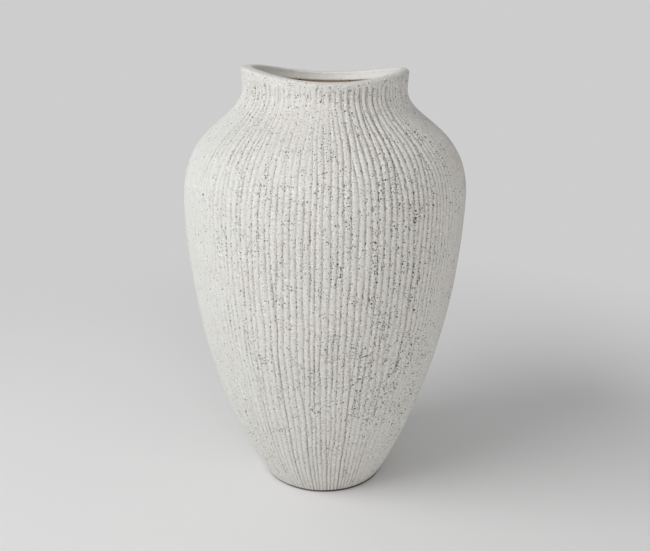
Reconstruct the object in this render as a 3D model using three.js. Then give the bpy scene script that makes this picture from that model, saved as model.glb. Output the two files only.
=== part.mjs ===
// Stoneware vase with hand-combed flutes and a saddle-shaped rim, as the potter's keyed sections on felt pads.
// Millimetres, +Z up. The origin is on the surface that the vase stands on; the viewer is at -Y.
import * as THREE from 'three';

// Outside profile
const HEIGHT = 303; // surface to the highest point of the rim
const FOOT_R = 43; // where the wall's line meets the surface
const FOOT_LEAN = 32; // degrees that the wall leans out at the foot
const FOOT_RUN = 57; // how far the wall holds that lean
const BELLY_R = 98; // widest radius
const BELLY_DROP = 89; // rim to the widest point
const BELLY_RUN_DOWN = 77.5; // how far the wall stays upright below the widest point
const BELLY_RUN_UP = 53; // and above it
const NECK_R = 56; // narrowest radius under the rim
const NECK_DROP = 13; // rim to the narrowest point
const NECK_RUN_DOWN = 27; // how far the wall stays upright below the neck
const NECK_RUN_UP = 4; // and above it
const RIM_R = 57.5;
const RIM_RUN = 2; // how far the wall stays upright under the rim

// Saddle rim
const SADDLE_DIP = 7.1; // front and back of the rim lie this much below its sides
const RIM_TILT = 2.8; // the right of the rim lies this much below its left
const FRONT_LIFT = 0.9; // the front of the rim lies this much above the saddle, and the back as much below it
const LIP_BAND = 5; // plain band between the rim and the flutes

// Walls and seams
const WALL = 7;
const FLOOR = 8;
const FLOOR_SWEEP = 16; // how far the floor sweeps up into the wall
const COLLAR_DROP = 26; // rim to the seam under the collar
const KEY_HEIGHT = 3; // step that keys one section on the next
const SLIP_GAP = 0.3; // slip between the upright faces of a key

// Foot
const PAD_THICK = 1.5;
const PAD_DIAMETER = 10;
const FOOT_HEIGHT = 6.5; // depth of the foot ring
const FOOT_RING_WIDTH = 12;
const BASE_BEVEL = 1.5;

// Combed flutes
const FLUTES = 112;
const FLUTE_DEPTH = 0.8;
const FLUTE_WIDTH = 2.2; // across one groove at the widest point
const WANDER = 0.7; // how far a flute strays to either side at the widest point
const WANDER_LENGTH = 190; // height over which a flute strays there and back
const WANDER_WAVES = 5; // waves of stray around the vase

// Facets
const PLAIN_FACETS = 48;
const PAD_FACETS = 24;
const LOWER_BANDS = 5;
const SHOULDER_BANDS = 5;
const COLLAR_BANDS = 3;
const SWEEP_BANDS = 4;
const LIP_BANDS = 4;

// Heights and radii that follow from the sizes above
const TURN = 2 * Math.PI;
const BELLY_Z = HEIGHT - BELLY_DROP;
const NECK_Z = HEIGHT - NECK_DROP;
const COLLAR_Z = HEIGHT - COLLAR_DROP;
const FOOT_Z = PAD_THICK + FOOT_HEIGHT;
const FLOOR_Z = FOOT_Z + FLOOR;
const FOOT_BORE_R = FOOT_R - FOOT_RING_WIDTH;

// The outside line, as curves of radius against height: foot to belly, belly to neck, neck to rim.
const lean = THREE.MathUtils.degToRad(FOOT_LEAN);
const outsideCurves = [
  new THREE.CubicBezierCurve(
    new THREE.Vector2(FOOT_R, 0),
    new THREE.Vector2(FOOT_R + FOOT_RUN * Math.sin(lean), FOOT_RUN * Math.cos(lean)),
    new THREE.Vector2(BELLY_R, BELLY_Z - BELLY_RUN_DOWN),
    new THREE.Vector2(BELLY_R, BELLY_Z),
  ),
  new THREE.CubicBezierCurve(
    new THREE.Vector2(BELLY_R, BELLY_Z),
    new THREE.Vector2(BELLY_R, BELLY_Z + BELLY_RUN_UP),
    new THREE.Vector2(NECK_R, NECK_Z - NECK_RUN_DOWN),
    new THREE.Vector2(NECK_R, NECK_Z),
  ),
  new THREE.CubicBezierCurve(
    new THREE.Vector2(NECK_R, NECK_Z),
    new THREE.Vector2(NECK_R, NECK_Z + NECK_RUN_UP),
    new THREE.Vector2(RIM_R, HEIGHT - RIM_RUN),
    new THREE.Vector2(RIM_R, HEIGHT),
  ),
];

// Radius of the outside at a height, and how fast it widens with height there.
function outsideAt(height) {
  const curve = outsideCurves.find((candidate) => height <= candidate.v3.y) ?? outsideCurves.at(-1);
  let low = 0;
  let high = 1;
  for (let halving = 0; halving < 40; halving += 1) {
    const middle = (low + high) / 2;
    if (curve.getPoint(middle).y < height) {
      low = middle;
    } else {
      high = middle;
    }
  }
  const along = curve.getTangent(low);
  return { radius: curve.getPoint(low).x, slope: along.x / along.y };
}

const outsideRadius = (height) => outsideAt(height).radius;

// The inside keeps the wall's thickness square to the surface.
function insideRadius(height) {
  const { radius, slope } = outsideAt(height);
  return radius - WALL * Math.hypot(1, slope);
}

// The key's upright faces stand in the middle of the wall.
const keyRadius = (height) => (outsideRadius(height) + insideRadius(height)) / 2;

// Height of the rim at an angle from +X: highest at the left, low at the front and lowest at the back.
function rimHeight(angle) {
  const dip = (SADDLE_DIP * (1 - Math.cos(2 * angle))) / 2;
  const tilt = (RIM_TILT * (1 + Math.cos(angle))) / 2;
  return HEIGHT - dip - tilt - FRONT_LIFT * Math.sin(angle);
}

// A point of the collar keeps its share of the way from the seam up to the rim, wherever the rim is.
function collarHeight(height, angle) {
  const share = (height - COLLAR_Z) / (HEIGHT - COLLAR_Z);
  return COLLAR_Z + share * (rimHeight(angle) - COLLAR_Z);
}

const level = (height) => height;

// A plain ring of points. The rise gives each point's own height from the ring's nominal one.
function plainRing(radius, height, rise = level) {
  return Array.from({ length: PLAIN_FACETS }, (_, facet) => {
    const angle = (TURN * facet) / PLAIN_FACETS;
    return new THREE.Vector3(radius * Math.cos(angle), radius * Math.sin(angle), rise(height, angle));
  });
}

// A combed ring: each flute is a valley point between the edges of the ridges on its two sides.
function flutedRing(height, depth = FLUTE_DEPTH, rise = level) {
  const radius = outsideRadius(height);
  const halfGroove = FLUTE_WIDTH / BELLY_R / 2;
  const points = [];
  for (let flute = 0; flute < FLUTES; flute += 1) {
    const straight = (TURN * flute) / FLUTES;
    const stray = Math.sin(WANDER_WAVES * straight + (TURN * height) / WANDER_LENGTH);
    const middle = straight + (WANDER / BELLY_R) * stray;
    for (const side of [-1, 0, 1]) {
      const angle = middle + side * halfGroove;
      const reach = side === 0 ? radius - depth : radius;
      points.push(new THREE.Vector3(reach * Math.cos(angle), reach * Math.sin(angle), rise(height, angle)));
    }
  }
  return points;
}

// A single point on the axis, where a ring closes to nothing.
const axisPoint = (height) => [new THREE.Vector3(0, 0, height)];

// Heights that cut a stretch into even bands, both ends included.
function evenHeights(from, to, bands) {
  return Array.from({ length: bands + 1 }, (_, step) => from + ((to - from) * step) / bands);
}

// Joins each ring to the next with triangles, up the outside and down the inside, so that faces look out.
function skinOver(rings, closed) {
  const starts = [];
  let total = 0;
  for (const points of rings) {
    starts.push(total);
    total += points.length;
  }
  const triangles = [];
  const joins = closed ? rings.length : rings.length - 1;
  for (let lower = 0; lower < joins; lower += 1) {
    const upper = (lower + 1) % rings.length;
    const lowerCount = rings[lower].length;
    const upperCount = rings[upper].length;
    const lowerPoint = (step) => starts[lower] + (step % lowerCount);
    const upperPoint = (step) => starts[upper] + (step % upperCount);
    let lowerStep = 0;
    let upperStep = 0;
    while (lowerStep < lowerCount || upperStep < upperCount) {
      if ((lowerStep + 1) * upperCount <= (upperStep + 1) * lowerCount) {
        if (lowerCount > 1) {
          triangles.push(lowerPoint(lowerStep), lowerPoint(lowerStep + 1), upperPoint(upperStep));
        }
        lowerStep += 1;
      } else {
        if (upperCount > 1) {
          triangles.push(lowerPoint(lowerStep), upperPoint(upperStep + 1), upperPoint(upperStep));
        }
        upperStep += 1;
      }
    }
  }
  const geometry = new THREE.BufferGeometry().setFromPoints(rings.flat());
  geometry.setIndex(triangles);
  geometry.computeVertexNormals();
  return geometry;
}

// The step on top of a section, from its outside edge in to its inside edge.
function keyStep(height) {
  const radius = keyRadius(height) - SLIP_GAP / 2;
  const top = height + KEY_HEIGHT;
  return [plainRing(radius, height), plainRing(radius, top), plainRing(insideRadius(top), top)];
}

// The matching step under the next section, from its inside edge out to its outside edge.
function keySeat(height) {
  const radius = keyRadius(height) + SLIP_GAP / 2;
  const top = height + KEY_HEIGHT;
  return [plainRing(radius, top), plainRing(radius, height)];
}

function footRing() {
  const bevelTop = PAD_THICK + BASE_BEVEL;
  return skinOver([
    plainRing(outsideRadius(PAD_THICK) - BASE_BEVEL, PAD_THICK),
    flutedRing(bevelTop, FLUTE_DEPTH / 2),
    flutedRing(FOOT_Z),
    plainRing(FOOT_BORE_R, FOOT_Z),
    plainRing(FOOT_BORE_R, PAD_THICK),
  ], true);
}

function lowerBowl() {
  const sweepTop = FLOOR_Z + FLOOR_SWEEP;
  const sweep = new THREE.QuadraticBezierCurve(
    new THREE.Vector2(insideRadius(sweepTop), sweepTop),
    new THREE.Vector2(insideRadius(FLOOR_Z), FLOOR_Z),
    new THREE.Vector2(insideRadius(FLOOR_Z) - FLOOR_SWEEP, FLOOR_Z),
  );
  const outside = evenHeights(FOOT_Z, BELLY_Z, LOWER_BANDS);
  const inside = evenHeights(BELLY_Z, sweepTop, LOWER_BANDS);
  return skinOver([
    axisPoint(FOOT_Z),
    ...outside.map((height) => flutedRing(height)),
    ...keyStep(BELLY_Z),
    ...inside.slice(0, -1).map((height) => plainRing(insideRadius(height), height)),
    ...sweep.getPoints(SWEEP_BANDS).map((point) => plainRing(point.x, point.y)),
    axisPoint(FLOOR_Z),
  ], false);
}

function shoulder() {
  const outside = evenHeights(BELLY_Z, COLLAR_Z, SHOULDER_BANDS);
  const inside = evenHeights(COLLAR_Z, BELLY_Z + KEY_HEIGHT, SHOULDER_BANDS);
  return skinOver([
    ...outside.map((height) => flutedRing(height)),
    ...keyStep(COLLAR_Z),
    ...inside.map((height) => plainRing(insideRadius(height), height)),
    ...keySeat(BELLY_Z),
  ], true);
}

function neckCollar() {
  const lipRadius = WALL / 2;
  const lipCentre = RIM_R - lipRadius;
  const lipBase = HEIGHT - lipRadius;
  const bandBase = HEIGHT - LIP_BAND;
  const outside = evenHeights(COLLAR_Z, bandBase, COLLAR_BANDS);
  const inside = evenHeights(lipBase, COLLAR_Z + KEY_HEIGHT, COLLAR_BANDS);
  const lip = Array.from({ length: LIP_BANDS + 1 }, (_, step) => {
    const turn = (Math.PI * step) / LIP_BANDS;
    const radius = lipCentre + lipRadius * Math.cos(turn);
    return plainRing(radius, lipBase + lipRadius * Math.sin(turn), collarHeight);
  });
  const seat = COLLAR_Z + KEY_HEIGHT;
  const fading = (band) => FLUTE_DEPTH * (1 - band / COLLAR_BANDS);
  return skinOver([
    ...outside.slice(0, -1).map((height, band) => flutedRing(height, fading(band), collarHeight)),
    plainRing(outsideRadius(bandBase), bandBase, collarHeight),
    ...lip,
    ...inside.slice(1, -1).map((height) => plainRing(insideRadius(height), height, collarHeight)),
    plainRing(insideRadius(seat), seat),
    ...keySeat(COLLAR_Z),
  ], true);
}

const vase = new THREE.Group();

function addPiece(name, geometry, finish) {
  const piece = new THREE.Mesh(geometry, new THREE.MeshStandardMaterial({ metalness: 0, ...finish }));
  piece.name = name;
  vase.add(piece);
  return piece;
}

// Matte off-white stoneware from foot to rim.
const stoneware = { color: 0xdedcd6, roughness: 0.85 };
addPiece('foot_ring', footRing(), stoneware);
addPiece('lower_bowl', lowerBowl(), stoneware);
addPiece('shoulder', shoulder(), stoneware);
addPiece('neck_collar', neckCollar(), stoneware);

// Felt pads in the middle of the foot ring's flat underside.
const felt = { color: 0xcfcabf, roughness: 1 };
const padCircle = (FOOT_BORE_R + outsideRadius(PAD_THICK) - BASE_BEVEL) / 2;
const padAngles = { front: -TURN / 4, right: 0, back: TURN / 4, left: TURN / 2 };
for (const [side, angle] of Object.entries(padAngles)) {
  const disc = new THREE.CylinderGeometry(PAD_DIAMETER / 2, PAD_DIAMETER / 2, PAD_THICK, PAD_FACETS);
  disc.rotateX(TURN / 4);
  const pad = addPiece(`felt_pad_${side}`, disc, felt);
  pad.position.set(padCircle * Math.cos(angle), padCircle * Math.sin(angle), PAD_THICK / 2);
}

export default vase;
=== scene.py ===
# %% [markdown]
# # A combed stoneware vase
# The real vase is thrown in sections that are joined with slip, combed by hand while the clay is soft,
# coated thinly with white slip and fired, so that specks of iron show through. A measured model of it, the
# frame, gives every main size. Each step below makes one section or one finish in fine detail, and puts it
# in the place of the frame's plain part.

# %% Load the frame
import math

import bpy
import numpy as np
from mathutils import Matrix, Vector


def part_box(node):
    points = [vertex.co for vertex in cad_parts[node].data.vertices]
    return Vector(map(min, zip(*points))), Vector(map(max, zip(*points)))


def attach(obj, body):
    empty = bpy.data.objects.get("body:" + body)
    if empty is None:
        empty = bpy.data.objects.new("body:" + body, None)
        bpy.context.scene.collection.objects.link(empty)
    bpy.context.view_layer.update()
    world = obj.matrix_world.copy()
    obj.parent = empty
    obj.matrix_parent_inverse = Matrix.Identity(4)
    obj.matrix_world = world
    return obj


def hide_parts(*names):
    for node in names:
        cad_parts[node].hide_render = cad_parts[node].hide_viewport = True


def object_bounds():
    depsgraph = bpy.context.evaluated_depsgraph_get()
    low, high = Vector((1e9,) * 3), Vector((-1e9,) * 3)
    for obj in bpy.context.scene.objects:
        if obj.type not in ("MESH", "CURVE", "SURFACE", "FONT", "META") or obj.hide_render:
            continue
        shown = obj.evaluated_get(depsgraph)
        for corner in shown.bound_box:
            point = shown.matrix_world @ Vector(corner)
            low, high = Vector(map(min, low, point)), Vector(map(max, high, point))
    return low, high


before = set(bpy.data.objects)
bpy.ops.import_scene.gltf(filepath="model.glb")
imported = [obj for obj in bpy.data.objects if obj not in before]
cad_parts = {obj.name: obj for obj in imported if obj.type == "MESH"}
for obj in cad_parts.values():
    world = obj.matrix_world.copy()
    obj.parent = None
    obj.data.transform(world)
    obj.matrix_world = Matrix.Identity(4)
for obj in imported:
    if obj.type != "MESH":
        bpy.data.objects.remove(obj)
frame_low, frame_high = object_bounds()
MM = 0.001
TURN = 2 * math.pi
print("parts in the frame:", ", ".join(sorted(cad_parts)))

# %% [markdown]
# ## The outside line
# A pot off the wheel is one line turned about an axis. The line could be drawn with many points, but three
# long curves with a handle at each end come closer to the sweep of a hand: foot to belly, belly to neck,
# and neck to lip. The heights where the sections meet and the width of the belly are read from the frame.

# %% Heights and widths from the frame
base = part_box("foot_ring")[0].z
foot_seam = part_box("foot_ring")[1].z
belly_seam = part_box("shoulder")[0].z
belly_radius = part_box("shoulder")[1].x
collar_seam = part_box("neck_collar")[0].z
height = frame_high.z
print(f"seams at {foot_seam / MM:.1f}, {belly_seam / MM:.1f} and {collar_seam / MM:.1f} mm")

# %% The line from foot to lip
FOOT_RADIUS = 43 * MM
FOOT_LEAN = math.radians(32)
FOOT_PULL = 57 * MM
BELLY_PULL_DOWN = 77.5 * MM
BELLY_PULL_UP = 53 * MM
NECK_RADIUS = 56 * MM
NECK_DROP = 13 * MM
NECK_PULL_DOWN = 27 * MM
NECK_PULL_UP = 4 * MM
RIM_RADIUS = 57.0 * MM
RIM_PULL = 2 * MM


def curve(start, start_handle, end_handle, end, steps=200):
    """Points along a cubic curve."""
    a, b, c, d = (np.array(point, float) for point in (start, start_handle, end_handle, end))
    t = np.linspace(0, 1, steps + 1)[:, None]
    return a * (1 - t) ** 3 + 3 * b * t * (1 - t) ** 2 + 3 * c * t**2 * (1 - t) + d * t**3


neck = (NECK_RADIUS, height - NECK_DROP)
belly = (belly_radius, belly_seam)
foot_to_belly = curve(
    (FOOT_RADIUS, 0),
    (FOOT_RADIUS + FOOT_PULL * math.sin(FOOT_LEAN), FOOT_PULL * math.cos(FOOT_LEAN)),
    (belly_radius, belly_seam - BELLY_PULL_DOWN),
    belly,
)
belly_to_neck = curve(
    belly, (belly_radius, belly_seam + BELLY_PULL_UP), (NECK_RADIUS, neck[1] - NECK_PULL_DOWN), neck
)
neck_to_lip = curve(
    neck, (NECK_RADIUS, neck[1] + NECK_PULL_UP), (RIM_RADIUS, height - RIM_PULL), (RIM_RADIUS, height)
)
line = np.vstack([foot_to_belly, belly_to_neck[1:], neck_to_lip[1:]])
steps_along = np.diff(line, axis=0)
travel = np.append(0, np.cumsum(np.hypot(steps_along[:, 0], steps_along[:, 1])))
along = np.gradient(line, travel, axis=0)
outward = np.column_stack([along[:, 1], -along[:, 0]])
print(f"the wall is {travel[-1] / MM:.0f} mm long from foot to lip")

# %% The inside line and the rows
WALL = 7 * MM
THROAT_DROP = 8.8 * MM
THROAT = height - THROAT_DROP
THROAT_FLARE = 3 * MM
UNDERCUT = 1.5 * MM
UNDERCUT_DROP = 2.5 * MM
UNDERCUT_END = 250 * MM
inside_line = line - WALL * outward
throat_heights = (UNDERCUT_END, THROAT - UNDERCUT_DROP, THROAT, height)
throat_swells = (0, THROAT_FLARE - UNDERCUT, THROAT_FLARE, 0)


def smooth_step(low, high, value):
    """0 up to low, 1 from high, and a smooth rise between."""
    t = np.clip((value - low) / (high - low), 0, 1)
    return t * t * (3 - 2 * t)


def outside(z):
    """The radius of the outside at a height."""
    return np.interp(z, line[:, 1], line[:, 0])


def inside(z):
    """The radius of the inside at a height: the lip flares open above a throat that a finger undercuts."""
    swell = np.interp(z, throat_heights, throat_swells)
    return np.interp(z, inside_line[:, 1], inside_line[:, 0]) - swell


def rows_between(low, high, step):
    """Heights from low to high, about a step apart along the wall."""
    first, last = np.interp((low, high), line[:, 1], travel)
    count = max(1, round((last - first) / step))
    return np.interp(np.linspace(first, last, count + 1), travel, line[:, 1])


print(f"the throat is {2 * inside(THROAT) / MM:.0f} mm wide")

# %% [markdown]
# ## What the hand does to the turned form
# A hand finished this vase, and it shows. The rim is pressed into a shallow saddle, a little lower on the
# right and flattened at its left end. The axis strays by a millimetre on the way up, the right shoulder
# hangs slack, and the wall is never quite round. Displacing a finished mesh with modifiers would hide these
# amounts, so plain functions that every later step shares hold them instead.

# %% Saddle, stray and unevenness
SADDLE = 7.1 * MM
TILT = 2.8 * MM
FRONT_LIFT = 0.9 * MM
LEFT_PRESS = 1.3 * MM
LEFT_PRESS_REACH = 0.45
STRAY = np.array((0, -2.9, 2.4, 1.0)) * MM
UNEVEN = 0.16 * MM
SLACK = 1.7 * MM
SLACK_HEIGHT = 266 * MM
SLACK_REACH = 24 * MM
rng = np.random.default_rng(26)


def rim_height(angle):
    """The rim is high at the left, which is pressed flat, and at the right, and lowest at the back."""
    dip = SADDLE * (1 - np.cos(2 * angle)) / 2 + TILT * (1 + np.cos(angle)) / 2
    from_left = np.mod(angle, TURN) - math.pi
    press = LEFT_PRESS * np.exp(-((from_left / LEFT_PRESS_REACH) ** 2))
    return height - dip - FRONT_LIFT * np.sin(angle) - press


def stray(z):
    """How far the axis lies to the right at a height: a cubic curve from foot to rim."""
    t = np.clip(z / height, 0, 1)
    weights = ((1 - t) ** 3, 3 * t * (1 - t) ** 2, 3 * t**2 * (1 - t), t**3)
    return sum(weight * amount for weight, amount in zip(weights, STRAY))


def place(radius, angle, z):
    """The point at a radius, angle and height of the turned form, after the hand has been at it."""
    radius, angle, z = np.broadcast_arrays(radius, angle, z)
    slack = SLACK * np.exp(-(((z - SLACK_HEIGHT) / SLACK_REACH) ** 2)) * np.cos(angle).clip(0, 1) ** 2
    lift = np.maximum(z - collar_seam, 0) / (height - collar_seam)
    raised = z + lift * (rim_height(angle) - height)
    radius = radius - slack
    return np.stack([radius * np.cos(angle) + stray(z), radius * np.sin(angle), raised], axis=-1)


def ripple(most_around, length, waves=14):
    """A smooth random field round and up the vase, about 1 either way."""
    around = rng.integers(1, most_around + 1, waves)
    up = rng.uniform(-1, 1, waves) * TURN / length
    start = rng.uniform(0, TURN, waves)

    def at(angle, z):
        total = sum(np.sin(a * angle + u * z + s) for a, u, s in zip(around, up, start))
        return total / math.sqrt(waves / 2)

    return at


uneven = ripple(most_around=9, length=60 * MM)
print(f"rim from {rim_height(math.pi / 2) / MM:.1f} to {rim_height(math.pi) / MM:.1f} mm high")

# %% [markdown]
# ## The comb's strokes
# Narrow grooves run from the lip to the foot, about 150 at the belly. They stray, pinch and run into each
# other, because a comb was drawn down by hand, harder on the right than on the left. A bump texture could
# draw grooves, but they would vanish at the silhouette. Here the columns of the mesh themselves follow the
# strokes: every stroke has its own share of the round, which changes with height, and a stroke that closes
# lets its two grooves meet.

# %% Where each stroke runs
STROKES = 148
CLOSING_LOW = 32
CLOSING_HIGH = 56
LOW_ENDS = (30 * MM, 205 * MM)
HIGH_ENDS = (238 * MM, 280 * MM)
LOW_MEET = (-15 * MM, 25 * MM)
HIGH_MEET = (-12 * MM, 12 * MM)
CLOSED_SHARE = 0.06
CLOSING_REACH = 3
PICK_CHANCE = 2.5
SPACING_CHANCE = 0.07
SPACING_LIMIT = 2
WAVE_SPREAD = (0.6, 1.7)
PINCH = 0.04
SWAY = 0.5 * MM


def waver(length, waves=3):
    """A smooth random line up the vase for each stroke, about 1 either way."""
    lengths = length * rng.uniform(*WAVE_SPREAD, (STROKES, waves, 1))
    start = rng.uniform(0, TURN, (STROKES, waves, 1))
    return lambda z: np.sin(TURN * z / lengths + start).sum(axis=1) / math.sqrt(waves / 2)


def spread_picks(count):
    """Some of the strokes, spread round the vase with a little chance in each step."""
    return (np.arange(count) * STROKES / count + rng.uniform(0, PICK_CHANCE, count)).astype(int)


numbers = np.arange(STROKES)[:, None]
chance = SPACING_CHANCE * rng.standard_normal((STROKES, 1)).clip(-SPACING_LIMIT, SPACING_LIMIT)
pinch = waver(length=60 * MM)
sway = ripple(most_around=7, length=160 * MM)
low_picks = spread_picks(CLOSING_LOW)
low_ends = rng.uniform(*LOW_ENDS, CLOSING_LOW)
high_picks = spread_picks(CLOSING_HIGH)
high_ends = rng.uniform(*HIGH_ENDS, CLOSING_HIGH)


def closing_pull(pick):
    """How far each groove moves, in strokes, when the picked stroke closes: its two grooves meet halfway."""
    after = np.mod(numbers - pick + STROKES // 2, STROKES) - STROKES // 2
    before_pull = 0.5 * np.clip(1 + after / CLOSING_REACH, 0, 1) * (after <= 0)
    after_pull = 0.5 * np.clip(1 - (after - 1) / CLOSING_REACH, 0, 1) * (after >= 1)
    return (1 - CLOSED_SHARE) * (before_pull - after_pull)


def stroke_angles(z):
    """The angle of each stroke's groove at each height: (strokes, heights)."""
    position = numbers + chance + PINCH * pinch(z)
    for pick, end in zip(low_picks, low_ends):
        low, high = (end + reach for reach in LOW_MEET)
        position = position + closing_pull(pick) * (1 - smooth_step(low, high, z))
    for pick, end in zip(high_picks, high_ends):
        low, high = (end + reach for reach in HIGH_MEET)
        position = position + closing_pull(pick) * smooth_step(low, high, z)
    gaps = np.diff(position, axis=0, append=position[:1] + STROKES).clip(CLOSED_SHARE, None)
    angle = TURN / STROKES * (position[:1] + np.cumsum(gaps, axis=0) * STROKES / gaps.sum(axis=0))
    return angle + SWAY / belly_radius * sway(angle, z)


print("a groove every", f"{TURN * belly_radius / STROKES / MM:.1f} mm at the belly")

# %% How deep each stroke bites
GROOVE_DEPTH = 1.02 * MM
HEAVY_SIDE = math.radians(-12)
SIDE_PRESSURE = 0.4
FOOT_PRESSURE = 0.74
FULL_PRESSURE = (60 * MM, 205 * MM)
NECK_EVENING = (262 * MM, 284 * MM)
NECK_PRESSURE = 0.35
NECK_START = (240 * MM, 272 * MM)
PATCH_ANGLE = math.radians(-98)
PATCH_HEIGHT = 277 * MM
PATCH_WIDTH = 0.42
PATCH_REACH = 26 * MM
PATCH_SMOOTHING = 0.88
BITE_CHANCE = 0.13
PRESSURE_CHANCE = 0.12
LUCK_LIMITS = (0.15, 1.7)
bite = waver(length=48 * MM)
pressure = ripple(most_around=5, length=120 * MM)


def stroke_depths(angle, z):
    """How deep each stroke cuts at each height, with a thumbed patch at the front of the neck."""
    from_patch = (np.mod(angle - PATCH_ANGLE + math.pi, TURN) - math.pi) / PATCH_WIDTH
    patch = np.exp(-(from_patch**2) - ((z - PATCH_HEIGHT) / PATCH_REACH) ** 2)
    heavy = np.cos(angle - HEAVY_SIDE)
    light = np.minimum(heavy, 0) * smooth_step(*NECK_EVENING, z)
    at_neck = NECK_PRESSURE * np.maximum(heavy, 0) * smooth_step(*NECK_START, z)
    side = 1 + SIDE_PRESSURE * (heavy - light) + at_neck
    near_foot = FOOT_PRESSURE + (1 - FOOT_PRESSURE) * smooth_step(*FULL_PRESSURE, z)
    luck = np.clip(1 + BITE_CHANCE * bite(z) + PRESSURE_CHANCE * pressure(angle, z), *LUCK_LIMITS)
    return GROOVE_DEPTH * side * near_foot * luck * (1 - PATCH_SMOOTHING * patch)


at_belly = np.array([belly_seam])
belly_depths = stroke_depths(stroke_angles(at_belly), at_belly)
print(f"grooves {belly_depths.min() / MM:.1f} to {belly_depths.max() / MM:.1f} mm deep at the belly")

# %% The combed skin
GROOVE_SHARE = 0.10
CROWN = 0.18
RIDGE = 0.12 * MM
# Where the mesh has a column in each stroke, as shares of its width: closest together at the grooves.
COLUMNS = np.array((0, 0.07, 0.16, 0.3, 0.5, 0.7, 0.84, 0.93))[None, :, None]


def combed_skin(z, fade=1.0):
    """The combed outside at these heights: points (heights, columns, 3), and how deep each is cut."""
    groove = stroke_angles(z)
    gap = (np.vstack([groove[1:], groove[:1] + TURN]) - groove)[:, None, :]
    angle = groove[:, None, :] + COLUMNS * gap
    radius = outside(z)
    pitch = TURN / STROKES
    depth = stroke_depths(groove, z)[:, None, :]
    next_depth = np.roll(depth, -1, axis=0)
    cut = depth / (1 + (COLUMNS * gap / pitch / GROOVE_SHARE) ** 2)
    cut = cut + next_depth / (1 + ((1 - COLUMNS) * gap / pitch / GROOVE_SHARE) ** 2)
    crown = CROWN * (depth + next_depth) / 2 * np.sin(math.pi * COLUMNS) ** 2 * np.clip(gap / pitch, 0, 1)
    cut = ((cut - crown) * fade).reshape(-1, len(z)).T
    angle = angle.reshape(-1, len(z)).T
    lean_out, lean_up = (np.interp(z, line[:, 1], part)[:, None] for part in outward.T)
    swell = RIDGE + UNEVEN * uneven(angle, z[:, None])
    proud = swell - cut
    points = place(radius[:, None] + proud * lean_out, angle, z[:, None] + proud * lean_up)
    return points, cut / GROOVE_DEPTH


print(f"{STROKES * COLUMNS.size} points round the outside")

# %% [markdown]
# ## Collecting a piece's rings
# Every clay section is a closed skin: up the combed outside, across the joint, down the plain inside and
# back. Extruding and bridging by hand in edit mode would do it, but the rings are already known, so a small
# collector joins them in order. It also lays each face flat on a sheet, so that the finish can be baked.

# %% The ring collector
class Skin:
    """The points and faces of one piece, collected ring by ring."""

    def __init__(self):
        self.points, self.depths, self.faces, self.sheet, self.bare = [], [], [], [], []

    def ring(self, points, depths=None):
        """Adds a ring of points and gives their numbers."""
        first = len(self.points)
        self.points.extend(points.tolist())
        self.depths.extend([0.0] * len(points) if depths is None else depths.tolist())
        return list(range(first, len(self.points)))

    def rings(self, grid, depths=None):
        """Adds a ring for each row of a grid of points."""
        return [self.ring(row, None if depths is None else depths[k]) for k, row in enumerate(grid)]

    def join(self, before, after, low, high, bare=False):
        """Joins two rings by a face for each point of the coarser, laid between two heights of the sheet."""
        count = min(len(before), len(after))
        for k in range(count):
            ends = []
            for ring, level in ((before, low), (after, high)):
                step = len(ring) // count
                places = range(k * step, (k + 1) * step + 1)
                ends.append([(ring[n % len(ring)], (n / len(ring), level)) for n in places])
            corners = ends[0] + ends[1][::-1]
            self.faces.append([number for number, _ in corners])
            self.sheet.extend(spot for _, spot in corners)
            self.bare.append(bare)

    def wall(self, rings, low, high, bare=False):
        """Joins rings one after the other, laid between two heights of the sheet."""
        levels = np.linspace(low, high, len(rings))
        for k in range(len(rings) - 1):
            self.join(rings[k], rings[k + 1], levels[k], levels[k + 1], bare)

    def lid(self, ring, low, high, bare=False):
        """Closes the last ring by one flat face, laid as a disc in a corner of the sheet."""
        middle, reach = (low + high) / 2, (high - low) / 2
        turns = [TURN * k / len(ring) for k in range(len(ring))]
        self.faces.append(list(ring))
        self.sheet.extend((middle + reach * math.cos(a), middle + reach * math.sin(a)) for a in turns)
        self.bare.append(bare)


# %% From rings to a piece
def make_piece(skin, name, nodes, materials, creases=()):
    """Makes a mesh object of the rings, with sharp edges along some of them, in the place of CAD nodes."""
    mesh = bpy.data.meshes.new(name)
    mesh.from_pydata(skin.points, [], skin.faces)
    mesh.attributes.new("groove", "FLOAT", "POINT").data.foreach_set("value", skin.depths)
    mesh.uv_layers.new(name="OFBake").data.foreach_set("uv", np.array(skin.sheet).ravel())
    for material in materials:
        mesh.materials.append(material)
    mesh.polygons.foreach_set("material_index", np.array(skin.bare, dtype=np.int32))
    mesh.polygons.foreach_set("use_smooth", np.ones(len(skin.faces), dtype=bool))
    crease_of = np.full(len(skin.points), -1)
    for number, ring in enumerate(creases):
        crease_of[ring] = number
    ends = np.zeros(2 * len(mesh.edges), dtype=np.int32)
    mesh.edges.foreach_get("vertices", ends)
    sides = crease_of[ends.reshape(-1, 2)]
    sharp = (sides[:, 0] >= 0) & (sides[:, 0] == sides[:, 1])
    mesh.attributes.new("sharp_edge", "BOOLEAN", "EDGE").data.foreach_set("value", sharp)
    piece = bpy.data.objects.new(name, mesh)
    bpy.context.scene.collection.objects.link(piece)
    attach(piece, "root")
    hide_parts(*nodes)
    print(f"{name}: {len(mesh.vertices)} points, {len(mesh.polygons)} faces")
    return piece


# %% [markdown]
# ## Writing finishes as sums
# A finish is a graph of nodes, and most of the graph is arithmetic. Wiring it by hand is slow to read, so a
# small class stands for one wire: adding or multiplying wires adds the Math nodes. Every other node comes
# from one method, which takes the node's kind, its settings, and what goes into its sockets.

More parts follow.
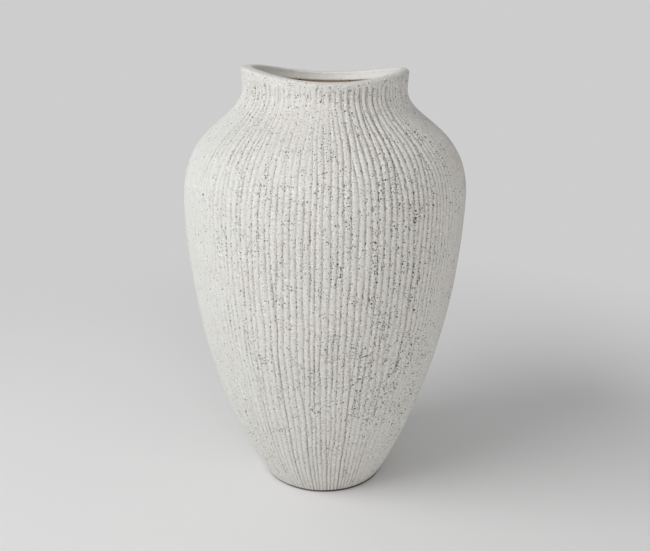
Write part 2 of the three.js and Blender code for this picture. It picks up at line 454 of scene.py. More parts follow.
# %% Wires and node graphs
class Wire:
    """One output of a node. Sums and products of wires add their Math nodes by themselves."""

    def __init__(self, nodes, socket):
        self.nodes, self.socket = nodes, socket

    def math(self, operation, first, second):
        """Adds a Math node for two wires or numbers."""
        return self.nodes.node("ShaderNodeMath", {"operation": operation}, {0: first, 1: second})

    def __add__(self, other):
        return self.math("ADD", self, other)

    def __radd__(self, other):
        return self.math("ADD", other, self)

    def __sub__(self, other):
        return self.math("SUBTRACT", self, other)

    def __rsub__(self, other):
        return self.math("SUBTRACT", other, self)

    def __mul__(self, other):
        return self.math("MULTIPLY", self, other)

    def __rmul__(self, other):
        return self.math("MULTIPLY", other, self)


class Nodes:
    """The node graph of one material or of the world."""

    def __init__(self, tree):
        self.tree = tree
        tree.nodes.clear()

    def node(self, kind, settings=None, sockets=None, output=0):
        """Adds a node, sets it, feeds its sockets with numbers or wires, and gives one of its outputs."""
        made = self.tree.nodes.new(kind)
        for name, value in (settings or {}).items():
            setattr(made, name, value)
        for name, value in (sockets or {}).items():
            if isinstance(value, Wire):
                self.tree.links.new(value.socket, made.inputs[name])
            else:
                made.inputs[name].default_value = value
        return Wire(self, made.outputs[output]) if made.outputs else None

    def other_output(self, wire, name):
        """Another output of the node that a wire comes from."""
        return Wire(self, wire.socket.node.outputs[name])

    def rise(self, value, low, high):
        """0 where the value is low or less, 1 where it is high or more, and smooth between."""
        settings = {"interpolation_type": "SMOOTHSTEP"}
        return self.node("ShaderNodeMapRange", settings, {"Value": value, "From Min": low, "From Max": high})

    def scaled(self, value, least, most):
        """The least where a value is 0, the most where it is 1."""
        return value * (most - least) + least

    def between(self, value, start, end):
        """1 between two edges, with a smooth rise at the start and a smooth fall at the end."""
        return self.rise(value, *start) * (1 - self.rise(value, *end))

    def mix(self, share, one, two):
        """A colour between two colours."""
        return self.node("ShaderNodeMix", {"data_type": "RGBA"}, {0: share, 6: one, 7: two}, output=2)

    def noise(self, spot, size, detail=2.0, roughness=0.5):
        """A cloudy number from 0 to 1, with clouds of about that size."""
        sockets = {"Vector": spot, "Scale": 1 / size, "Detail": detail, "Roughness": roughness}
        return self.node("ShaderNodeTexNoise", {}, sockets)


def new_finish(name):
    """A new material and its empty node graph."""
    material = bpy.data.materials.new(name)
    material.use_nodes = True
    return material, Nodes(material.node_tree)


# %% [markdown]
# ## The slip
# White slip, dry to the touch, lies over a speckled clay. On the left, where the key lamp falls, its colour
# is whiter and cooler as painted light, with fainter groove colour and fewer specks. It is darker and
# browner in the grooves, wiped pale on the lip and warmer in the left of the throat, and the lowest 14 mm
# of the foot are darkened with painted shade. A painted image would need a seam somewhere. Textures that
# fill space have none, and they run on from one section to the next, because all share one origin.

# %% Clouds, streaks and grain
STREAK_DRAW = 0.16
CLUSTER_DRAW = 0.4


def drawn_down(nodes, spot, share):
    """Spots with their height shrunk to a share, so that a texture on them is drawn out downwards."""
    return nodes.node("ShaderNodeVectorMath", {"operation": "MULTIPLY"}, {0: spot, 1: (1, 1, share)})


stoneware, nodes = new_finish("white_slip_stoneware")
spot = nodes.node("ShaderNodeTexCoord", {}, {}, output="Object")
groove = nodes.node("ShaderNodeAttribute", {"attribute_name": "groove"}, {}, output="Fac")
across = nodes.node("ShaderNodeSeparateXYZ", {}, {"Vector": spot}, output="X")
level = nodes.other_output(across, "Z")
clouds = nodes.noise(spot, size=42 * MM, detail=3)
warm_clouds = nodes.noise(spot, size=23 * MM, detail=4)
streaks = nodes.noise(drawn_down(nodes, spot, STREAK_DRAW), size=1.6 * MM, detail=5, roughness=0.6)
clusters = nodes.noise(drawn_down(nodes, spot, CLUSTER_DRAW), size=9 * MM, detail=3)
sand = nodes.noise(spot, size=1.0 * MM, detail=3, roughness=0.7)
mottle = nodes.noise(spot, size=1.5 * MM, detail=2, roughness=0.6)
print("textures of the slip:", len(nodes.tree.nodes), "nodes")

# %% Slip, thick and thin
LIT_SIDE_SLIP = (0.674, 0.677, 0.653, 1)
DUN_SLIP = (0.698, 0.679, 0.646, 1)
WARM_SLIP = (0.678, 0.634, 0.581, 1)
CLAY_BROWN_AND_SHADE = (0.455, 0.420, 0.372, 1)
CLOUD_REACH = 40 * MM
LIT_SIDE_RISE = (10 * MM, 110 * MM)
WARM_CLOUDS = (0.52, 0.8)
WARM_SHARE = 0.5
MOTTLED = (0.45, 0.68)
MOTTLE_SHARE = 0.11
STREAK_SHARE = 0.5
GROOVE_DARKENS = (0.42, 1.35)
LIT_SIDE_GROOVE_COVER = 0.2
GROOVE_DARK_SHARE = 0.66
FOOT_SHADE_HEIGHT = 14 * MM
FOOT_SHADE_SHARE = 0.2

to_the_left = clouds * CLOUD_REACH - across
# Painted light: the slip turns whiter and cooler towards the left, where the key lamp falls.
painted_lit_side = nodes.rise(to_the_left, *LIT_SIDE_RISE)
slip = nodes.mix(painted_lit_side, DUN_SLIP, LIT_SIDE_SLIP)
slip = nodes.mix(nodes.rise(warm_clouds, *WARM_CLOUDS) * WARM_SHARE, slip, WARM_SLIP)
slip = nodes.mix(nodes.rise(mottle, *MOTTLED) * MOTTLE_SHARE, slip, CLAY_BROWN_AND_SHADE)
# Darker and browner towards the bottom of each groove, and less so on the left.
groove_darkening = nodes.rise(groove + (streaks - 0.5) * STREAK_SHARE, *GROOVE_DARKENS) * (1 - LIT_SIDE_GROOVE_COVER * painted_lit_side)
# Painted shade: the colour darkens towards the floor over the lowest 14 mm of the foot.
painted_foot_shade = 1 - nodes.rise(level, 0.0, FOOT_SHADE_HEIGHT)
colour = nodes.mix(groove_darkening * GROOVE_DARK_SHARE + painted_foot_shade * FOOT_SHADE_SHARE, slip, CLAY_BROWN_AND_SHADE)
print("slip from", LIT_SIDE_SLIP[:3], "down to clay", CLAY_BROWN_AND_SHADE[:3])

# %% The wiped lip and the warm throat
# The lip has groove depths from 0 down to -1, and the throat has -1.
WIPED_SLIP = (0.775, 0.768, 0.74, 1)
WIPED_DEPTHS = (0.1, 0.7)
WIPED_SHARE = 0.8
THROAT_DEPTHS = (0.8, 1.0)
BLUSH_ENDS = (-5 * MM, 25 * MM)
BLUSH_SHARE = 0.5

wiped = nodes.rise(0 - groove, *WIPED_DEPTHS)
colour = nodes.mix(wiped * WIPED_SHARE, colour, WIPED_SLIP)
blush = nodes.rise(0 - groove, *THROAT_DEPTHS) * (1 - nodes.rise(across, *BLUSH_ENDS))
colour = nodes.mix(blush * BLUSH_SHARE, colour, WARM_SLIP)
print("lip wiped to", WIPED_SLIP[:3])

# %% [markdown]
# ## The iron specks
# Iron in the clay burns through the slip as dark specks, most of them under 1 mm across. The fine ones
# gather along the grooves, where the slip is thin, and get a pale ring, which is a guess and partly a
# painted highlight standing in for small glints, like the pale grains. The large ones lie in loose patches,
# fewest on the left. Low on the right both kinds get some extra, because the shallow grooves there gather
# too few.
# Small discs of geometry would be heavy in such numbers. The cells of a texture are light: some share of the
# cells holds a speck, and that share changes from place to place.

# %% One kind of speck
TEAR_FINENESS = 2.2
TEAR = 0.4
LEAST_WIDTH = 0.20
WIDTH_RANGE = 0.28
SPECK_EDGE = 0.06
SHARE_EDGE = 0.02


def iron_specks(nodes, spot, size, share, grow=0.0):
    """Ragged specks in some of the cells of a space-filling pattern, 1 inside a speck. They can be grown."""
    sockets = {"Vector": spot, "Scale": TEAR_FINENESS / size, "Detail": 2.0}
    tear = nodes.node("ShaderNodeTexNoise", {}, sockets, output="Color")
    tear_by = (TEAR * size,) * 3
    torn = nodes.node("ShaderNodeVectorMath", {"operation": "MULTIPLY_ADD"}, {0: tear, 1: tear_by, 2: spot})
    cell = nodes.node("ShaderNodeTexVoronoi", {}, {"Vector": torn, "Scale": 1 / size})
    luck = nodes.node("ShaderNodeSeparateColor", {}, {"Color": nodes.other_output(cell, "Color")})
    width = nodes.other_output(luck, "Green") * WIDTH_RANGE + (LEAST_WIDTH + grow)
    inside_speck = 1 - nodes.rise(cell - width, -SPECK_EDGE, SPECK_EDGE)
    return inside_speck * nodes.rise(share - luck, 0.0, SHARE_EDGE)


print(f"specks reach {LEAST_WIDTH:.2f} to {LEAST_WIDTH + WIDTH_RANGE:.2f} of a cell from its middle")

# %% Where specks gather
LOW_RIGHT_SIDES = ((0 * MM, 25 * MM), (42 * MM, 62 * MM))
LOW_RIGHT_HEIGHTS = ((35 * MM, 60 * MM), (120 * MM, 175 * MM))
CROWDS = (0.48, 0.86)
GROOVE_PULL = 0.4
LOW_RIGHT_PULL = 0.065
PATCHES = (0.5, 0.72)
LARGE_GROOVE_PULL = 0.12
LARGE_LOW_RIGHT_PULL = 0.09

low_right = nodes.between(across, *LOW_RIGHT_SIDES) * nodes.between(level, *LOW_RIGHT_HEIGHTS)
crowd = nodes.rise(clusters + groove * GROOVE_PULL + low_right * LOW_RIGHT_PULL, *CROWDS)
pull = groove * LARGE_GROOVE_PULL + low_right * LARGE_LOW_RIGHT_PULL
patches = nodes.rise(clusters + pull, *PATCHES)
print(f"extra specks low on the right, fading out above {LOW_RIGHT_HEIGHTS[1][0] / MM:.0f} mm")

# %% Where there are fewer
FOOT_FREE = (8 * MM, 80 * MM)
NECK_FREE = (235 * MM, 285 * MM)
NECK_LOSS = 0.6
FAR_LEFT = (60 * MM, 110 * MM)
LIT_SIDE_SPECK_LOSS = 0.3
FAR_LEFT_LOSS = 0.85
RIGHT_EDGE = (52 * MM, 86 * MM)
RIGHT_LOSS = 0.75

band = nodes.rise(level, *FOOT_FREE) * (1 - NECK_LOSS * nodes.rise(level, *NECK_FREE))
# Fewer specks towards the left; the lit-side mask of painted light thins them there as well.
far_left = nodes.rise(to_the_left, *FAR_LEFT)
speck_room = (1 - LIT_SIDE_SPECK_LOSS * painted_lit_side) * (1 - FAR_LEFT_LOSS * far_left)
speck_room = speck_room * (1 - RIGHT_LOSS * nodes.rise(across, *RIGHT_EDGE)) * (1 - wiped)
print(f"fewer specks below {FOOT_FREE[1] / MM:.0f} mm and above {NECK_FREE[0] / MM:.0f} mm")

# %% Specks, rings and grains
SPECK = (0.035, 0.028, 0.023, 1)
PALE_SPECK = (0.19, 0.165, 0.14, 1)
PALE_GRAIN_AND_GLINT = (0.92, 0.915, 0.89, 1)
FINE_SIZE = 1.05 * MM
FINE_SHARES = (0.15, 0.75)
FINE_BAND_SHARES = (0.35, 1)
LARGE_SHARES = (0.03, 0.33)
LARGE_SIDE = (-28 * MM, 24 * MM)
LARGE_SIDE_SHARES = (0.34, 1.42)
DUST_SHARES = (0.14, 0.44)
PALE_GRAIN_CELLS = 0.36
RING_GROWTH = 0.3
RING_SHARE = 0.9
GRAIN_SHARE = 0.3
DUST_SHARE = 0.75

fine_share = nodes.scaled(crowd, *FINE_SHARES) * nodes.scaled(band, *FINE_BAND_SHARES) * speck_room
large_side = nodes.scaled(nodes.rise(across, *LARGE_SIDE), *LARGE_SIDE_SHARES)
large_share = nodes.scaled(patches, *LARGE_SHARES) * large_side * speck_room * band * band
dust_share = nodes.scaled(crowd, *DUST_SHARES) * speck_room
fine_specks = iron_specks(nodes, spot, FINE_SIZE, fine_share)
pale_rings_and_glints = iron_specks(nodes, spot, FINE_SIZE, fine_share, grow=RING_GROWTH)
dust = iron_specks(nodes, spot, size=0.78 * MM, share=dust_share, grow=0.06)
large_specks = iron_specks(nodes, spot, size=1.5 * MM, share=large_share, grow=-0.02)
pale_grains_and_glints = iron_specks(nodes, spot, size=1.1 * MM, share=PALE_GRAIN_CELLS)
# Partly painted highlights: the pale grains and the pale rings round the fine specks also stand in for small
# glints.
colour = nodes.mix(pale_grains_and_glints * GRAIN_SHARE, colour, PALE_GRAIN_AND_GLINT)
colour = nodes.mix(pale_rings_and_glints * RING_SHARE, colour, PALE_GRAIN_AND_GLINT)
colour = nodes.mix(dust * DUST_SHARE, colour, PALE_SPECK)
colour = nodes.mix(fine_specks, colour, SPECK)
colour = nodes.mix(large_specks, colour, SPECK)
print("with its specks the finish has", len(nodes.tree.nodes), "nodes")

# %% Sand, pits and the dry surface
RELIEF_HEIGHT = 0.65 * MM
PIT_SHARES = (0.1, 0.4)

pits = iron_specks(nodes, spot, size=1.9 * MM, share=nodes.scaled(crowd, *PIT_SHARES))
relief = streaks * 0.3 + sand + mottle * 0.8 - pits * 0.8 - fine_specks * 0.4
bump = nodes.node("ShaderNodeBump", {}, {"Strength": 0.9, "Distance": RELIEF_HEIGHT, "Height": relief})
dryness = 0.74 + 0.16 * sand + 0.08 * groove_darkening
surface = nodes.node(
    "ShaderNodeBsdfPrincipled",
    {},
    {"Base Color": colour, "Roughness": dryness, "Normal": bump, "Specular IOR Level": 0.3},
)
nodes.node("ShaderNodeOutputMaterial", {}, {"Surface": surface})
print("stoneware finish:", len(nodes.tree.nodes), "nodes")

# %% [markdown]
# ## Bare clay and felt
# The underside of the foot is wiped free of slip before firing, so that the vase doesn't stick to the kiln
# shelf, and shows the toasted clay. So does the inside below the throat, where the slip wasn't poured. The
# pads under the foot are pressed wool felt. Little of this shows from the front, but anyone who lifts the
# vase or looks into it sees it. Plain colours would do for that, but clouds and grain look right close up.

# %% Bare clay
TOASTED = (0.52, 0.40, 0.29, 1)
PALE_TOASTED = (0.63, 0.53, 0.42, 1)

bare_clay, nodes = new_finish("bare_toasted_clay")
spot = nodes.node("ShaderNodeTexCoord", {}, {}, output="Object")
clouds = nodes.noise(spot, size=18 * MM, detail=4)
grog = nodes.noise(spot, size=0.8 * MM, detail=5, roughness=0.7)
colour = nodes.mix(nodes.rise(clouds, 0.35, 0.68), TOASTED, PALE_TOASTED)
clay_specks = iron_specks(nodes, spot, size=1.9 * MM, share=0.12 + 0.05 * clouds)
colour = nodes.mix(clay_specks * 0.8, colour, SPECK)
bump = nodes.node("ShaderNodeBump", {}, {"Strength": 0.7, "Distance": 0.3 * MM, "Height": grog})
surface = nodes.node(
    "ShaderNodeBsdfPrincipled",
    {},
    {"Base Color": colour, "Roughness": 0.8 + 0.15 * grog, "Normal": bump, "Specular IOR Level": 0.25},
)
nodes.node("ShaderNodeOutputMaterial", {}, {"Surface": surface})
print("bare clay finish:", len(nodes.tree.nodes), "nodes")

# %% Felt
FELT = (0.60, 0.57, 0.50, 1)
FELT_SHADE = (0.47, 0.44, 0.38, 1)

felt, nodes = new_finish("pressed_felt")
spot = nodes.node("ShaderNodeTexCoord", {}, {}, output="Object")
tangle = nodes.noise(spot, size=0.5 * MM, detail=6, roughness=0.7)
lumps = nodes.noise(spot, size=2.2 * MM, detail=3)
colour = nodes.mix(nodes.rise(tangle * 0.6 + lumps * 0.4, 0.36, 0.64), FELT_SHADE, FELT)
fuzz = tangle * 0.7 + lumps * 0.3
bump = nodes.node("ShaderNodeBump", {}, {"Strength": 0.8, "Distance": 0.25 * MM, "Height": fuzz})
surface = nodes.node(
    "ShaderNodeBsdfPrincipled",
    {},
    {"Base Color": colour, "Roughness": 0.88 + 0.1 * tangle, "Normal": bump, "Specular IOR Level": 0.2},
)
nodes.node("ShaderNodeOutputMaterial", {}, {"Surface": surface})
print("felt finish:", len(nodes.tree.nodes), "nodes")

# %% [markdown]
# ## The neck collar
# The collar carries the drawn-in neck and the lip. The strokes fade out under the lip, which a wet finger
# has smoothed, and the lip flares open over an undercut throat. Its cross-section could be an arc, but an
# arc looks like a pipe. A squarer oval, with a power on its sine and cosine, gives a flat top with eased
# corners, and the power changes round the rim: the lip is flatter on the left and rounder on the right.

# %% Lip and collar
LIP_EASE = 3.8 * MM
LIP_SQUARE = 0.72
LIP_ROUNDER = 0.16
LIP_STEPS = 14
COLLAR_STEP = 1.5 * MM
THROAT_STEP = 1 * MM
SMOOTH_LIP = 0.5 * MM
SMOOTH_FADE = 5 * MM
CLAY_FINISHES = (stoneware, bare_clay)


def squarer_oval(steps, square):
    """Across and up from the outer edge to the inner edge of a rounded bar, each from 0 to 1."""
    a = np.linspace(0, math.pi, steps + 1)[1:, None]
    across = np.sign(np.cos(a)) * np.abs(np.cos(a)) ** square
    return (1 - across) / 2, np.sin(a).clip(0, 1) ** square


def coarse_rings(radius, z):
    """Plain rings with a point at each stroke, for the inside."""
    return place(radius[:, None], stroke_angles(z).T, z[:, None])


lip_base = height - LIP_EASE
collar_rows = rows_between(collar_seam, lip_base, COLLAR_STEP)
under_lip = smooth_step(SMOOTH_LIP, SMOOTH_LIP + SMOOTH_FADE, lip_base - collar_rows)
outer, cuts = combed_skin(collar_rows, under_lip)
last_angles = stroke_angles(collar_rows[-1:])
next_angles = np.append(last_angles[1:], last_angles[:1] + TURN, axis=0)
lip_angles = (last_angles + COLUMNS[0].T * (next_angles - last_angles)).ravel()
across_lip, up_lip = squarer_oval(LIP_STEPS, LIP_SQUARE + LIP_ROUNDER * np.cos(lip_angles))
lip_radius = RIM_RADIUS + (inside(lip_base) - RIM_RADIUS) * across_lip
lip = place(lip_radius, lip_angles, lip_base + LIP_EASE * up_lip)
slipped_rows = rows_between(THROAT, lip_base, THROAT_STEP)
bare_rows = rows_between(collar_seam, THROAT, THROAT_STEP)
throat_rows = np.append(slipped_rows[::-1], bare_rows[-2::-1])
slipped = len(slipped_rows) - 1

collar = Skin()
outer_rings = collar.rings(outer, cuts)
lip_rings = collar.rings(lip, np.broadcast_to(-np.linspace(0, 1, LIP_STEPS)[:, None], lip.shape[:2]))
throat = coarse_rings(inside(throat_rows), throat_rows)[1:]
throat_rings = collar.rings(throat, np.full(throat.shape[:2], -1.0))
collar.wall(outer_rings + lip_rings, low=0.0, high=0.7)
collar.join(lip_rings[-1], throat_rings[0], low=0.7, high=0.72)
collar.wall(throat_rings[:slipped], low=0.72, high=0.84)
collar.wall(throat_rings[slipped - 1 :], low=0.84, high=0.96, bare=True)
collar.join(throat_rings[-1], outer_rings[0], low=0.97, high=0.99)
creases = [outer_rings[0], throat_rings[-1]]
make_piece(collar, "vase_collar", ["neck_collar"], CLAY_FINISHES, creases)

# %% [markdown]
# ## Shoulder and lower bowl
# The two large sections are plain shells between two seams. They are kept apart, as on the potter's bench,
# but their rings at a seam are the same points, so the strokes run across it without a break.

# %% Shoulder
WALL_STEP = 2.9 * MM
INSIDE_STEP = 6 * MM

shoulder_rows = rows_between(belly_seam, collar_seam, WALL_STEP)
outer, cuts = combed_skin(shoulder_rows)
inner_rows = rows_between(belly_seam, collar_seam, INSIDE_STEP)[::-1]

shoulder = Skin()
outer_rings = shoulder.rings(outer, cuts)
inner_rings = shoulder.rings(coarse_rings(inside(inner_rows), inner_rows))
shoulder.wall(outer_rings, low=0.0, high=0.66)
shoulder.join(outer_rings[-1], inner_rings[0], low=0.67, high=0.69)
shoulder.wall(inner_rings, low=0.7, high=0.96, bare=True)
shoulder.join(inner_rings[-1], outer_rings[0], low=0.97, high=0.99)
creases = [outer_rings[0], outer_rings[-1], inner_rings[0], inner_rings[-1]]
make_piece(shoulder, "vase_shoulder", ["shoulder"], CLAY_FINISHES, creases)

# %% Lower bowl
FLOOR_THICKNESS = 8 * MM
FLOOR = foot_seam + FLOOR_THICKNESS
FLOOR_SWEEP = 16 * MM
FLOOR_RINGS = (0.8, 0.6, 0.4, 0.2, 0.05)
FOOT_BORE = 31 * MM
CORNER_LIFT = 4 * MM
RECESS_MIDDLE = 2 * MM

bowl_rows = rows_between(foot_seam, belly_seam, WALL_STEP)
outer, cuts = combed_skin(bowl_rows)
inner_rows = rows_between(FLOOR + FLOOR_SWEEP, belly_seam, INSIDE_STEP)[::-1]
sweep_top = (inside(FLOOR + FLOOR_SWEEP), FLOOR + FLOOR_SWEEP)
floor_edge = inside(FLOOR) - FLOOR_SWEEP
corner = (inside(FLOOR + CORNER_LIFT), FLOOR)
sweep = curve(sweep_top, corner, corner, (floor_edge, FLOOR), steps=8)[1:]
floor_radii = floor_edge * np.array(FLOOR_RINGS)
bowl_line = np.vstack([sweep, np.column_stack([floor_radii, np.full(len(floor_radii), FLOOR)])])
sweep_angles = stroke_angles(np.full(len(bowl_line), FLOOR + FLOOR_SWEEP)).T

bowl = Skin()
outer_rings = bowl.rings(outer, cuts)
inner_rings = bowl.rings(coarse_rings(inside(inner_rows), inner_rows))
inner_rings += bowl.rings(place(bowl_line[:, :1], sweep_angles, bowl_line[:, 1:]))
below_angles = stroke_angles(np.array([foot_seam]))[:, 0]
recess_radii = (FOOT_BORE, FOOT_BORE / 2, RECESS_MIDDLE)
recess_rings = [bowl.ring(place(radius, below_angles, foot_seam)) for radius in recess_radii]
bowl.wall(outer_rings, low=0.0, high=0.66)
bowl.join(outer_rings[-1], inner_rings[0], low=0.67, high=0.68)
bowl.wall(inner_rings, low=0.69, high=0.9, bare=True)
bowl.lid(inner_rings[-1], low=0.901, high=0.909, bare=True)
bowl.join(recess_rings[0], outer_rings[0], low=0.91, high=0.92, bare=True)
bowl.wall(recess_rings[::-1], low=0.93, high=0.98, bare=True)
bowl.lid(recess_rings[-1][::-1], low=0.99, high=1.0, bare=True)
creases = [outer_rings[0], outer_rings[-1], inner_rings[0]]
make_piece(bowl, "vase_lower", ["lower_bowl"], CLAY_FINISHES, creases)

# %% [markdown]
# ## The foot ring
# The trimmed ring under the floor carries the strokes down to a crisp edge. A bevel modifier would round
# both edges alike, but the inner one is eased a little more than the outer one, so each gets its own rings.

# %% Foot ring
FOOT_EASE = 0.6 * MM
BORE_EASE = 0.8 * MM
EASE_STEPS = 4
FOOT_STEP = 1 * MM

foot_rows = rows_between(base + FOOT_EASE, foot_seam, FOOT_STEP)
outer, cuts = combed_skin(foot_rows)
turns = np.linspace(0, math.pi / 2, EASE_STEPS + 1)
edge_radius = outside(foot_rows[0])
foot_angles = stroke_angles(foot_rows[:1])[:, 0]
fall, turn_in = 1 - np.sin(turns), 1 - np.cos(turns)
eased_in = np.column_stack([FOOT_BORE + BORE_EASE * fall, base + BORE_EASE * turn_in])
eased_out = np.repeat(outer[:1], EASE_STEPS, axis=0)
eased_out[:, :, :2] *= (1 - FOOT_EASE * turn_in[1:] / edge_radius)[:, None, None]
eased_out[:, :, 2] += (base - eased_out[:, :, 2]) * np.sin(turns[1:])[:, None]

foot = Skin()
outer_rings = foot.rings(outer, cuts)
edge_rings = foot.rings(eased_out, np.repeat(cuts[:1], EASE_STEPS, axis=0))
bore_rings = foot.rings(place(eased_in[:, :1], foot_angles, eased_in[:, 1:]))
bore_rings.append(foot.ring(place(FOOT_BORE, below_angles, foot_seam)))
foot.wall(outer_rings, low=0.3, high=0.9)
foot.join(outer_rings[-1], bore_rings[-1], low=0.92, high=0.94, bare=True)
foot.wall(bore_rings[::-1], low=0.95, high=0.99, bare=True)
foot.join(bore_rings[0], edge_rings[-1], low=0.1, high=0.2, bare=True)
foot.wall(edge_rings[::-1], low=0.2, high=0.28)
foot.join(edge_rings[0], outer_rings[0], low=0.28, high=0.3)
creases = [outer_rings[-1], bore_rings[-1]]
make_piece(foot, "vase_foot", ["foot_ring"], CLAY_FINISHES, creases)

# %% [markdown]
# ## The felt pads
# Four die-cut discs keep the fired foot off the table. A plain cylinder would look like a coin. Felt is
# softer: its edge bulges a little, its top is squeezed flat against the clay, and its rim is frayed.

# %% Four pads
PAD_POINTS = 72
PAD_FRAY = 0.12 * MM
PAD_FRAY_START = 0.8
PAD_MIDDLE = 0.45
PAD_FLAT = 0.88
PAD_SIDE_STEPS = 8
PAD_SQUARE = 0.45


def felt_pad(node):
    """One pad in the place of a CAD pad."""
    low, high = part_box(node)
    centre = (low + high) / 2
    reach = (high.x - low.x) / 2 - PAD_FRAY
    angle = np.linspace(0, TURN, PAD_POINTS, endpoint=False)
    fray = PAD_FRAY * rng.uniform(-1, 1, PAD_POINTS)
    turns = np.linspace(-math.pi / 2, math.pi / 2, PAD_SIDE_STEPS + 1)
    bulge = PAD_FLAT + (1 - PAD_FLAT) * np.cos(turns).clip(0, 1) ** PAD_SQUARE
    rise = 0.5 + 0.5 * np.sign(turns) * np.abs(np.sin(turns)) ** PAD_SQUARE
    shares = [(PAD_MIDDLE, 0.0), *zip(bulge, rise), (PAD_MIDDLE, 1.0)]
    skin = Skin()
    rings = []
    for across, up in shares:
        radius = reach * across + fray * smooth_step(PAD_FRAY_START, 1, across)
        level = np.full(PAD_POINTS, low.z + (high.z - low.z) * up)
        x, y = centre.x + radius * np.cos(angle), centre.y + radius * np.sin(angle)
        rings.append(skin.ring(np.column_stack([x, y, level])))
    skin.wall(rings, low=0.2, high=0.8)
    skin.lid(rings[0][::-1], low=0.0, high=0.18)
    skin.lid(rings[-1], low=0.82, high=1.0)
    pad = make_piece(skin, "vase_" + node, [node], [felt])


for side in ("front", "right", "back", "left"):
    felt_pad("felt_pad_" + side)

# %% [markdown]
# ## Studio: floor, light and camera
# The studio has a seamless pale floor and one large soft lamp from the left, a little in front, which a
# weak lamp at the front fills in. The floor near the vase takes its real light and shadow. A disc of painted
# shade on it, under the foot and darker towards the right, keeps the thin gap under the foot dark. Further
# off it melts into the plain grey of the world, so that no horizon shows from any side.

# %% Floor
PAPER_REACH = 14.0
PAPER_COLOUR = (0.80, 0.80, 0.80, 1)
PAINTED_SHADE_PAPER = (0.13, 0.13, 0.13, 1)
SHADE_EDGE = 1 * MM
SHADE_DEEPENS = (-45 * MM, 5 * MM)
LEAST_SHADE = 0.6
BACKGROUND = (0.612, 0.612, 0.612, 1)
MELT_START = 0.24
MELT_END = 0.62

mesh = bpy.data.meshes.new("studio_floor")
reach = PAPER_REACH
corners = [(-reach, -reach, 0), (reach, -reach, 0), (reach, reach, 0), (-reach, reach, 0)]
mesh.from_pydata(corners, [], [(0, 1, 2, 3)])
floor = bpy.data.objects.new("studio_floor", mesh)
bpy.context.scene.collection.objects.link(floor)


def seen_straight(nodes):
    """1 for a ray from the camera, or one mirrored or let through on its way: what shows the background."""
    path = nodes.node("ShaderNodeLightPath", {}, {}, output="Is Camera Ray")
    mirrored = nodes.other_output(path, "Is Glossy Ray")
    let_through = nodes.other_output(path, "Is Transmission Ray")
    return nodes.rise(path + mirrored + let_through, 0.0, 1.0)


paper, nodes = new_finish("studio_paper")
spot = nodes.node("ShaderNodeTexCoord", {}, {}, output="Object")
distance = nodes.node("ShaderNodeVectorMath", {"operation": "LENGTH"}, {0: spot}, output="Value")
melt = nodes.rise(distance, MELT_START, MELT_END) * seen_straight(nodes)
to_the_right = nodes.node("ShaderNodeSeparateXYZ", {}, {"Vector": spot}, output="X")
# Painted shade: a dark disc on the floor under the foot, darker towards the right, keeps the gap under the
# vase dark.
painted_gap_shade = 1 - nodes.rise(distance, FOOT_RADIUS, FOOT_RADIUS + SHADE_EDGE)
painted_gap_shade = painted_gap_shade * nodes.scaled(nodes.rise(to_the_right, *SHADE_DEEPENS), LEAST_SHADE, 1)
paper_colour = nodes.mix(painted_gap_shade, PAPER_COLOUR, PAINTED_SHADE_PAPER)
lit = nodes.node("ShaderNodeBsdfDiffuse", {}, {"Color": paper_colour})
plain = nodes.node("ShaderNodeEmission", {}, {"Color": BACKGROUND})
surface = nodes.node("ShaderNodeMixShader", {}, {0: melt, 1: lit, 2: plain})
nodes.node("ShaderNodeOutputMaterial", {}, {"Surface": surface})
mesh.materials.append(paper)
print("floor", 2 * PAPER_REACH, "m across")

# %% World
AMBIENT = (0.393, 0.393, 0.393, 1)

world = bpy.data.worlds.new("studio")
bpy.context.scene.world = world
world.use_nodes = True
nodes = Nodes(world.node_tree)
sky = nodes.node("ShaderNodeBackground", {}, {"Color": AMBIENT})
backdrop = nodes.node("ShaderNodeBackground", {}, {"Color": BACKGROUND})
surface = nodes.node("ShaderNodeMixShader", {}, {0: seen_straight(nodes), 1: sky, 2: backdrop})
nodes.node("ShaderNodeOutputWorld", {}, {"Surface": surface})
print("ambient light", AMBIENT[:3])

# %% Lamps
LAMP_TARGET = (0, 0, 0.14)


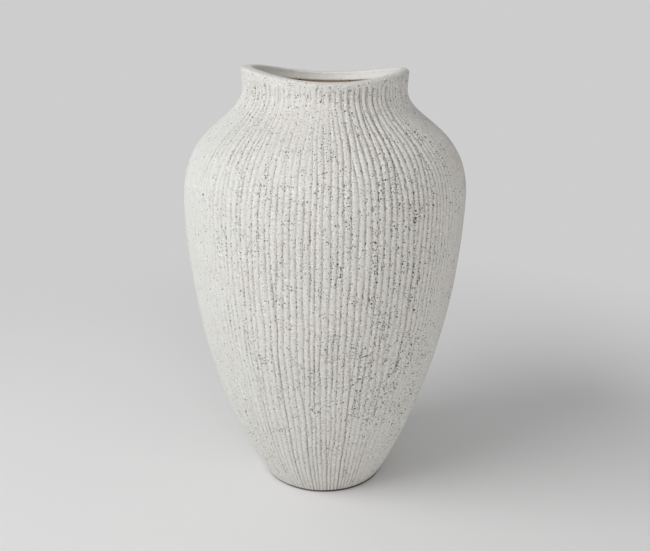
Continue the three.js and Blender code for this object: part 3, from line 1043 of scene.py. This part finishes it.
def aim(thing, target):
    """Turns a lamp or camera to look at a point."""
    back = thing.location - type(thing.location)(target)
    thing.rotation_mode = "QUATERNION"
    thing.rotation_quaternion = back.to_track_quat("Z", "Y")


def softbox(name, azimuth, elevation, distance, size, power):
    """A round soft lamp. Azimuth turns from the left towards the viewer, in degrees."""
    lamp = bpy.data.lights.new(name, "AREA")
    lamp.shape = "DISK"
    lamp.size = size
    lamp.energy = power
    box = bpy.data.objects.new(name, lamp)
    bpy.context.scene.collection.objects.link(box)
    turn, rise = math.radians(azimuth), math.radians(elevation)
    level = distance * math.cos(rise)
    box.location = (
        LAMP_TARGET[0] - level * math.cos(turn),
        LAMP_TARGET[1] - level * math.sin(turn),
        LAMP_TARGET[2] + distance * math.sin(rise),
    )
    aim(box, LAMP_TARGET)
    print(name, "at", tuple(round(v, 2) for v in box.location))


softbox("key_softbox", azimuth=26, elevation=34, distance=2.2, size=1.8, power=32.9)
softbox("front_fill", azimuth=95, elevation=10, distance=1.8, size=1.4, power=9.45)

# %% Camera
CAMERA_BACK = 600 * MM
CAMERA_UP = 347.3 * MM
CAMERA_RIGHT = 0.95 * MM
CAMERA_PITCH = math.radians(17.97)
FOCAL_PIXELS = 867
IMAGE_WIDTH = 650
SENSOR = 36.0

camera_data = bpy.data.cameras.new("photo_camera")
camera_data.sensor_fit = "HORIZONTAL"
camera_data.sensor_width = SENSOR
camera_data.lens = SENSOR * FOCAL_PIXELS / IMAGE_WIDTH
camera_data.clip_start = 0.01
camera_data.clip_end = 100
camera = bpy.data.objects.new("photo_camera", camera_data)
bpy.context.scene.collection.objects.link(camera)
camera.location = (CAMERA_RIGHT, -CAMERA_BACK, CAMERA_UP)
camera.rotation_euler = (math.pi / 2 - CAMERA_PITCH, 0, 0)
bpy.context.scene.camera = camera
bpy.context.scene.view_settings.view_transform = "Standard"
print(f"lens {camera_data.lens:.1f} mm")

# %% [markdown]
# ## Last step
# The view layer is brought up to date with every piece.

# %% Update the view layer
bpy.context.view_layer.update()
